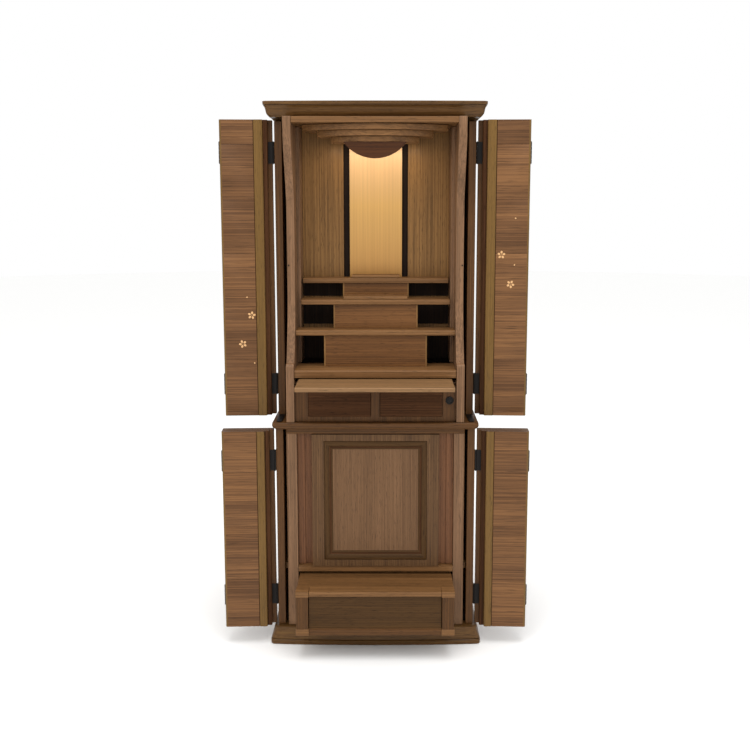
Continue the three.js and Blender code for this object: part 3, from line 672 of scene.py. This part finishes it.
def makeInnerLeaf(level, side):
    d = doorSizes
    leaf = leafFrame(level, side)
    near = d["innerStart"]
    far = near + d["innerWidth"]
    front = -d["standOff"]
    back = front - d["thickness"]
    soft, chamfer = d["edgeRound"] / 2, d["innerChamfer"]
    veneer, plain = 0, 1
    farCorner = roundCorner(far - soft, back + soft, soft, 0, -90)
    outline, kinds = joinRuns(
        [
            ([(near, front - chamfer), (near + chamfer, front)], plain),
            ([(far - chamfer, front), (far, front - chamfer)], plain),
            (farCorner[:-1], plain),
            (farCorner[-1:], veneer),
            (roundCorner(near + soft, back + soft, soft, -90, -180), plain),
        ]
    )
    ease = d["endEase"] * mm
    levels = [leaf["low"], leaf["low"] + ease, *sheetJoints(level, leaf), leaf["high"] - ease, leaf["high"]]
    rings = [[onLeaf(leaf, u * mm, w * mm, z) for u, w in outline] for z in levels]
    faceMaterials = []
    shifts = []
    for k in range(len(rings) - 1):
        sheetShift = newSheet()
        faceMaterials += kinds
        shifts += [sheetShift if kind == veneer else (0, 0, 0) for kind in kinds]
    faceMaterials += [plain, plain]
    shifts += [(0, 0, 0), (0, 0, 0)]
    hangLeaf(level, side, "inner", rings, [doorVeneer, edgeUpright], faceMaterials, shifts)


# Butt hinges of blackened steel: knuckles on a pin with small ball ends, and plates screwed to the sides,
# with each screw's height and reach as shares of the plate.
hingeSizes = {
    "length": 58,
    "fromEnd": 57,
    "gap": 0.5,
    "cabinetRadius": 2.4,
    "foldRadius": 3.1,
    "plate": 1.1,
    "cabinetReach": 24,
    "foldReach": 14,
    "screw": 2.6,
    "screwProud": 0.5,
    "knuckles": 5,
    "pinShare": 0.62,
    "pinPast": 0.4,
    "ball": 1.2,
    "leafPlate": 0.7,
    "leafPlateBack": 0.9,
    "sunk": 0.2,
    "screwPlaces": [(0.18, 0.7), (0.5, 0.45), (0.82, 0.7)],
}


# Joins rings of vertices into one closed skin with flat ends.
def skinRings(made, rings):
    count = len(rings[0])
    for low, high in zip(rings, rings[1:]):
        for i in range(count):
            j = (i + 1) % count
            made.faces.new((low[i], low[j], high[j], high[i]))
    made.faces.new(list(reversed(rings[0])))
    made.faces.new(rings[-1])


turned = {"rodSides": 14, "screwSides": 12, "screwSunk": 0.2}


# A turned shape along out: each pair of its profile is a share of the radius and a height.
def addTurned(made, centre, side, out, radius, profile, sides):
    other = out.cross(side)
    rings = []
    for share, height in profile:
        ring = []
        for i in range(sides):
            angle = 2 * math.pi * i / sides
            spoke = side * math.cos(angle) + other * math.sin(angle)
            ring.append(made.verts.new(centre + spoke * radius * share + out * height))
        rings.append(ring)
    skinRings(made, rings)


# A pin with ball ends, or a knuckle with eased ones.
def addRod(made, at, z0, z1, radius, ball=0.0):
    if ball:
        profile = [(0.55, z0 - ball), (0.9, z0 - ball / 2), (1, z0)]
        profile += [(1, z1), (0.9, z1 + ball / 2), (0.55, z1 + ball)]
    else:
        ease = 0.15 * radius
        profile = [(0.86, z0), (1, z0 + ease), (1, z1 - ease), (0.86, z1)]
    addTurned(made, at, Vector((1, 0, 0)), Vector((0, 0, 1)), radius, profile, turned["rodSides"])


def addSlab(made, corner, right, up, out, size):
    width, height, thick = size
    points = []
    for a, b, c in [(0, 0, 0), (1, 0, 0), (1, 1, 0), (0, 1, 0), (0, 0, 1), (1, 0, 1), (1, 1, 1), (0, 1, 1)]:
        points.append(made.verts.new(corner + right * width * a + up * height * b + out * thick * c))
    for face in [(3, 2, 1, 0), (4, 5, 6, 7), (0, 1, 5, 4), (1, 2, 6, 5), (2, 3, 7, 6), (3, 0, 4, 7)]:
        made.faces.new([points[i] for i in face])


def addScrew(made, centre, out, radius, proud):
    profile = [(1, -turned["screwSunk"] * mm), (1, proud / 2), (0.75, proud)]
    side = out.orthogonal().normalized()
    addTurned(made, centre, side, out, radius, profile, turned["screwSides"])


def finishMade(made, name, material, body, sharpDegrees=40):
    bmesh.ops.recalc_face_normals(made, faces=made.faces)
    mesh = bpy.data.meshes.new(name)
    made.to_mesh(mesh)
    made.free()
    mesh.materials.append(material)
    return placeMesh(name, mesh, body, sharpDegrees)


def makeHinges(level, side):
    h = hingeSizes
    leaf = leafFrame(level, side)
    up = Vector((0, 0, 1))
    past = h["pinPast"] * mm
    carcass = 1 if side == "right" else -1
    starts = {
        "Low": leaf["low"] + h["fromEnd"] * mm,
        "High": leaf["high"] - (h["fromEnd"] + h["length"]) * mm,
    }
    rods = [("Cabinet", h["cabinetRadius"], 0, 1, h["cabinetReach"])]
    rods += [("Fold", h["foldRadius"], leaf["fold"], -1, h["foldReach"])]
    for place, start in starts.items():
        name = f"{level.capitalize()}{side.capitalize()}{place}"
        end = start + h["length"] * mm
        step = (end - start) / h["knuckles"]
        for kind, radius, u, inward, reach in rods:
            made = bmesh.new()
            centre = onLeaf(leaf, u, 0, 0)
            addRod(made, centre, start - past, end + past, radius * h["pinShare"] * mm, ball=h["ball"] * mm)
            for i in range(h["knuckles"]):
                low = start + i * step
                addRod(made, centre, low, low + step - h["gap"] * mm, radius * mm)
            plateFrom = onLeaf(leaf, u, -h["leafPlateBack"] * mm, start)
            size = (reach * mm, end - start, h["leafPlate"] * mm)
            addSlab(made, plateFrom, leaf["outward"] * inward, up, leaf["forward"], size)
            finishMade(made, f"{name}{kind}Hinge", blackSteel, f"{level}_{side}_inner")
        panelLow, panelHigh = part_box(f"{level}_side_{side}")
        panelX = (panelHigh if side == "right" else panelLow).x
        plane = panelLow.y
        out = Vector((carcass, 0, 0))
        corner = Vector((panelX, plane - h["sunk"] * mm, start))
        size = (h["cabinetReach"] * mm, end - start, h["plate"] * mm)
        made = bmesh.new()
        addSlab(made, corner, Vector((0, 1, 0)), up, out, size)
        for rise, across in h["screwPlaces"]:
            depth = plane + h["cabinetReach"] * across * mm
            at = Vector((panelX + carcass * h["plate"] * mm, depth, start + (end - start) * rise))
            addScrew(made, at, out, h["screw"] * mm, h["screwProud"] * mm)
        finishMade(made, f"{name}HingePlate", blackSteel, "cabinet")


for level in ("upper", "lower"):
    for side in ("left", "right"):
        makeOuterLeaf(level, side)
        makeInnerLeaf(level, side)
        makeHinges(level, side)
print("doors made")

# Cherry blossoms and loose petals let into the upper doors: where each stands, from the middle of the
# cabinet and from the floor, with its turn.
inlaySizes = {
    "blossom": 11,
    "petal": 6.5,
    "thickness": 0.35,
    "sunk": 0.2,
    "heart": 1.0,
    "heartProud": 0.45,
    "start": 0.3,
    "width": 0.27,
    "notch": 0.9,
    "tip": 0.6,
    "swellFrom": 0.12,
    "swellShare": 0.8,
    "fullness": 0.8,
    "petals": 5,
    "steps": 8,
}
inlays = {
    "left": [
        ("petal", -355.4, 966.0, 20),
        ("blossom", -339.7, 917.7, 8),
        ("blossom", -365.3, 838.4, 40),
        ("petal", -330.4, 783.1, 150),
    ],
    "right": [
        ("petal", 375.8, 1183.5, -25),
        ("blossom", 342.9, 1083.2, 15),
        ("petal", 377.2, 1052.0, 70),
        ("blossom", 368.7, 1003.1, -10),
    ],
}


# One notched petal that starts clear of the blossom's heart and points along its own turn.
def petalOutline(length):
    p = inlaySizes
    half = []
    for i in range(p["steps"] + 1):
        t = i / p["steps"]
        swell = math.sin(math.pi * min(1, p["swellFrom"] + p["swellShare"] * t)) ** p["fullness"]
        half.append((length * (p["start"] + (1 - p["start"]) * t), length * p["width"] * swell))
    half[-1] = (length, half[-1][1] * p["tip"])
    notch = [(length * p["notch"], 0)]
    return half + notch + [(a, -b) for a, b in reversed(half)]


def makeInlays(side):
    leaf = leafFrame("upper", side)
    flip = 1 if side == "right" else -1
    face = (doorSizes["standOff"] + doorSizes["thickness"] - doorSizes["faceSunk"]) * mm
    for number, (kind, x, z, turn) in enumerate(inlays[side]):
        made = bmesh.new()
        u = (abs(x) * mm - abs(leaf["at"].x)) / abs(leaf["outward"].x)
        petals = inlaySizes["petals"] if kind == "blossom" else 1
        turns = [turn + 360 / petals * k for k in range(petals)]
        for angle in turns:
            cosine, sine = math.cos(math.radians(angle)), math.sin(math.radians(angle))
            rings = []
            for height in (face - inlaySizes["sunk"] * mm, face + inlaySizes["thickness"] * mm):
                ring = []
                for a, b in petalOutline(inlaySizes[kind] * mm):
                    across = a * cosine - b * sine
                    along = a * sine + b * cosine
                    ring.append(made.verts.new(onLeaf(leaf, u + flip * across, height, z * mm + along)))
                rings.append(ring)
            skinRings(made, rings)
        if kind == "blossom":
            centre = onLeaf(leaf, u, face, z * mm)
            addScrew(made, centre, leaf["forward"], inlaySizes["heart"] * mm, inlaySizes["heartProud"] * mm)
        name = f"{side.capitalize()}{kind.capitalize()}{number + 1}"
        finishMade(made, name, paleInlay, f"upper_{side}_outer")


for side in inlays:
    makeInlays(side)
print("inlays made")


# Raised moulding round the lower panel's field, mitred at the corners: bead, cove and a small step, each
# point an inset from the opening and a rise above the panel. The faces in its grooves are darker, as painted
# shade.
moulding = {
    "profile": [
        (0.6, -3),
        (0.6, -1.2),
        (1.4, 0.6),
        (3.2, 1.9),
        (6, 2.4),
        (9.5, 2.0),
        (12.5, 0.7),
        (14.5, -1.2),
        (15.5, -2.6),
        (17.5, -2.9),
        (20.5, -3.6),
        (23.5, -5.6),
        (24.5, -6.6),
        (24.5, -8),
    ],
    "grooves": (0, 8, 9, 12, 13),
    "stile": 33,
    "rail": 18,
    "lap": 0.5,
    "sharpDegrees": 50,
}


def makePanelMoulding():
    m = moulding
    low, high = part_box("lower_panel")
    stile, rail = (m["stile"] - m["lap"]) * mm, m["rail"] * mm
    left, right = low.x + stile, high.x - stile
    bottom, top = low.z + rail, high.z - rail
    vertices = []
    for inset, rise in m["profile"]:
        i, y = inset * mm, low.y - rise * mm
        vertices += [(left + i, y, bottom + i), (right - i, y, bottom + i)]
        vertices += [(right - i, y, top - i), (left + i, y, top - i)]
    faces = []
    faceMaterials = []
    count = len(m["profile"])
    for k in range(count):
        n = (k + 1) % count
        for c in range(4):
            e = (c + 1) % 4
            faces.append((k * 4 + c, k * 4 + e, n * 4 + e, n * 4 + c))
            upright = c % 2
            faceMaterials.append(upright + (2 if k in m["grooves"] else 0))
    obj = makePiece(
        "PanelMoulding",
        vertices,
        faces,
        [mouldLevel, mouldUpright, shadeLevel, jointAndShadeUpright],
        "cabinet",
        faceMaterials,
        sharpDegrees=m["sharpDegrees"],
    )


makePanelMoulding()


# A plain board on the altar, from its low corner.
def addBoard(name, corner, size, material, easeMm):
    made = bmesh.new()
    addSlab(made, corner, Vector((1, 0, 0)), Vector((0, 0, 1)), Vector((0, 1, 0)), size)
    obj = finishMade(made, name, material, "altar")
    easeEdges(obj, easeMm)


# Near-black boards close the back of the hollows beside and behind the risers: painted shade in the hollows.
hollowBoard = {"thickness": 1.2, "clear": 0.6, "ease": 0.2}


def makeHollowShadeBoards():
    clear, thick = hollowBoard["clear"] * mm, hollowBoard["thickness"] * mm
    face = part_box("gold_panel")[0].y - clear
    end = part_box("niche_panel_right")[1].x - clear
    tiers = ["tier_platform", "tier_lower", "tier_middle", "tier_upper"]
    risers = ["riser_lower", "riser_middle", "riser_upper"]
    for number, (below, above, riser) in enumerate(zip(tiers, tiers[1:], risers)):
        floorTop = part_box(below)[1].z + clear
        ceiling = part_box(above)[0].z - clear
        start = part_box(riser)[1].x + clear
        size = (end - start, ceiling - floorTop, thick)
        for side, left in (("Left", -end), ("Right", start)):
            corner = Vector((left, face - thick, floorTop))
            name = f"Hollow{side}Board{number + 1}"
            addBoard(name, corner, size, shadeBlackBoard, hollowBoard["ease"])


makeHollowShadeBoards()

# Pale strips on the upright edges of each riser: painted highlights along those edges.
riserHighlight = {"width": 4, "proud": 0.8, "clear": 0.3, "lap": 0.4, "ease": 0.3}


def makeRiserHighlights():
    wide, proud, clear, lap = (riserHighlight[key] * mm for key in ("width", "proud", "clear", "lap"))
    for part in ("lower", "middle", "upper"):
        low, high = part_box(f"riser_{part}")
        size = (wide, high.z - low.z - 2 * clear, proud + lap)
        for side, x in (("Left", low.x), ("Right", high.x - wide)):
            corner = Vector((x, low.y - proud, low.z + clear))
            name = f"{part.capitalize()}Riser{side}Edge"
            addBoard(name, corner, size, nicheUpright, riserHighlight["ease"])


makeRiserHighlights()


# Round black switch: a collar, a shallow dish and a domed button, each point a share of the radius and a
# depth behind the front.
switch = {
    "profile": [
        (0.0, 0.9),
        (0.42, 1.0),
        (0.56, 1.5),
        (0.62, 1.7),
        (0.7, 1.2),
        (0.76, 0.3),
        (0.84, 0),
        (0.94, 0.3),
        (1.0, 1.1),
    ],
    "sides": 36,
}


def makeSwitch():
    low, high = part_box("round_switch")
    centre = (low + high) / 2
    radius = (high.x - low.x) / 2
    profile = [(share, low.y + depth * mm) for share, depth in switch["profile"]]
    profile += [(1.0, high.y), (0.0, high.y)]
    sides = switch["sides"]
    vertices = []
    faces = []
    rings = []
    for share, y in profile:
        if share == 0:
            rings.append([len(vertices)])
            vertices.append((centre.x, y, centre.z))
            continue
        rings.append(list(range(len(vertices), len(vertices) + sides)))
        for i in range(sides):
            angle = 2 * math.pi * i / sides
            across, up = radius * share * math.cos(angle), radius * share * math.sin(angle)
            vertices.append((centre.x + across, y, centre.z + up))
    for first, second in zip(rings, rings[1:]):
        for i in range(sides):
            j = (i + 1) % sides
            if len(first) == 1:
                faces.append((first[0], second[i], second[j]))
            elif len(second) == 1:
                faces.append((first[i], second[0], first[j]))
            else:
                faces.append((first[i], second[i], second[j], first[j]))
    obj = makePiece("RoundSwitch", vertices, faces, [blackSteel], "altar")
    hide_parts("round_switch")


makeSwitch()

# Small black door catches on the front edges of the altar's sides.
catchSizes = {"height": 1054, "radius": 2, "proud": 3.5, "inset": 4, "back": 69}


def makeCatches():
    for side in ("left", "right"):
        low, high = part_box(f"altar_side_{side}")
        inset = catchSizes["inset"] * mm
        x = low.x + inset if side == "left" else high.x - inset
        at = Vector((x, low.y + catchSizes["back"] * mm, catchSizes["height"] * mm))
        made = bmesh.new()
        addScrew(made, at, Vector((0, -1, 0)), catchSizes["radius"] * mm, catchSizes["proud"] * mm)
        finishMade(made, f"{side.capitalize()}Catch", blackSteel, "altar")


makeCatches()
print("fittings made")


# Studio: pale floor, white surround and broad soft lights.
studio = {
    "surround": 1.0,
    "floor": "#fdfdfc",
    "floorRadius": 14,
    "floorSides": 64,
    "floorRoughness": 0.95,
    "floorSpecular": 0.1,
    "aim": 0.8,
    "lamps": {
        "key": {"at": (-1.9, -2.9, 2.9), "size": 1.8, "watts": 24, "colour": "#fff8f0"},
        "fill": {"at": (2.3, -2.6, 1.5), "size": 2.0, "watts": 8, "colour": "#f6faff"},
        "over": {"at": (0.1, -0.8, 3.3), "size": 2.2, "watts": 55, "colour": "#ffffff"},
    },
}


def addLamp(name, at, target, wide, deep, watts, colour):
    light = bpy.data.lights.new(name, "AREA")
    light.shape = "RECTANGLE"
    light.size = wide
    light.size_y = deep
    light.energy = watts
    light.color = toLinear(colour)[:3]
    obj = bpy.data.objects.new(name, light)
    obj.location = at
    obj.rotation_euler = (target - obj.location).to_track_quat("-Z", "Y").to_euler()
    bpy.context.collection.objects.link(obj)
    return obj


def makeStudio():
    made = bmesh.new()
    sides = studio["floorSides"]
    bmesh.ops.create_circle(made, cap_ends=True, radius=studio["floorRadius"], segments=sides)
    mesh = bpy.data.meshes.new("floor")
    made.to_mesh(mesh)
    made.free()
    floor = bpy.data.objects.new("floor", mesh)
    bpy.context.collection.objects.link(floor)
    material, tree, shader = newMaterial("matPaper")  # matt white paper, even and without sheen
    shader.inputs["Base Color"].default_value = toLinear(studio["floor"])
    shader.inputs["Roughness"].default_value = studio["floorRoughness"]
    shader.inputs["Specular IOR Level"].default_value = studio["floorSpecular"]
    mesh.materials.append(material)
    world = bpy.data.worlds.new("surround")
    world.use_nodes = True
    world.node_tree.nodes["Background"].inputs["Color"].default_value = (1, 1, 1, 1)
    world.node_tree.nodes["Background"].inputs["Strength"].default_value = studio["surround"]
    bpy.context.scene.world = world
    target = Vector((0, 0, studio["aim"]))
    for name, lamp in studio["lamps"].items():
        addLamp(name, lamp["at"], target, lamp["size"], lamp["size"], lamp["watts"], lamp["colour"])


# A long warm lamp behind the valance, aimed down at the gold panel, which moves with the altar.
nicheLamp = {
    "forward": 70,
    "below": 12,
    "aimDown": 220,
    "width": 260,
    "depth": 30,
    "watts": 0.27,
    "colour": "#ffedd0",
}


def makeNicheLamp():
    n = nicheLamp
    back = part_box("gold_panel")[0].y
    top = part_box("canopy_board_lower")[0].z
    at = Vector((0, back - n["forward"] * mm, top - n["below"] * mm))
    target = Vector((0, back, top - n["aimDown"] * mm))
    obj = addLamp("nicheLamp", at, target, n["width"] * mm, n["depth"] * mm, n["watts"], n["colour"])
    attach(obj, "altar")


# Camera: above the doors' middle and a little right of the cabinet's, pitched down towards its foot.
view = {
    "at": (0.029, -2.499, 1.22),
    "pitch": 7.5,
    "shiftX": -0.0147,
    "shiftY": -0.073,
    "lens": 42.4,
    "sensor": 36,
}


def makeCamera():
    lens = bpy.data.cameras.new("camera")
    lens.lens = view["lens"]
    lens.sensor_width = view["sensor"]
    lens.shift_x = view["shiftX"]
    lens.shift_y = view["shiftY"]
    obj = bpy.data.objects.new("camera", lens)
    obj.location = view["at"]
    obj.rotation_euler = (math.radians(90 - view["pitch"]), 0, 0)
    bpy.context.collection.objects.link(obj)
    bpy.context.scene.camera = obj


makeStudio()
makeNicheLamp()
makeCamera()
scene = bpy.context.scene
scene.view_settings.view_transform = "Standard"
scene.view_settings.look = "None"
print("studio made")
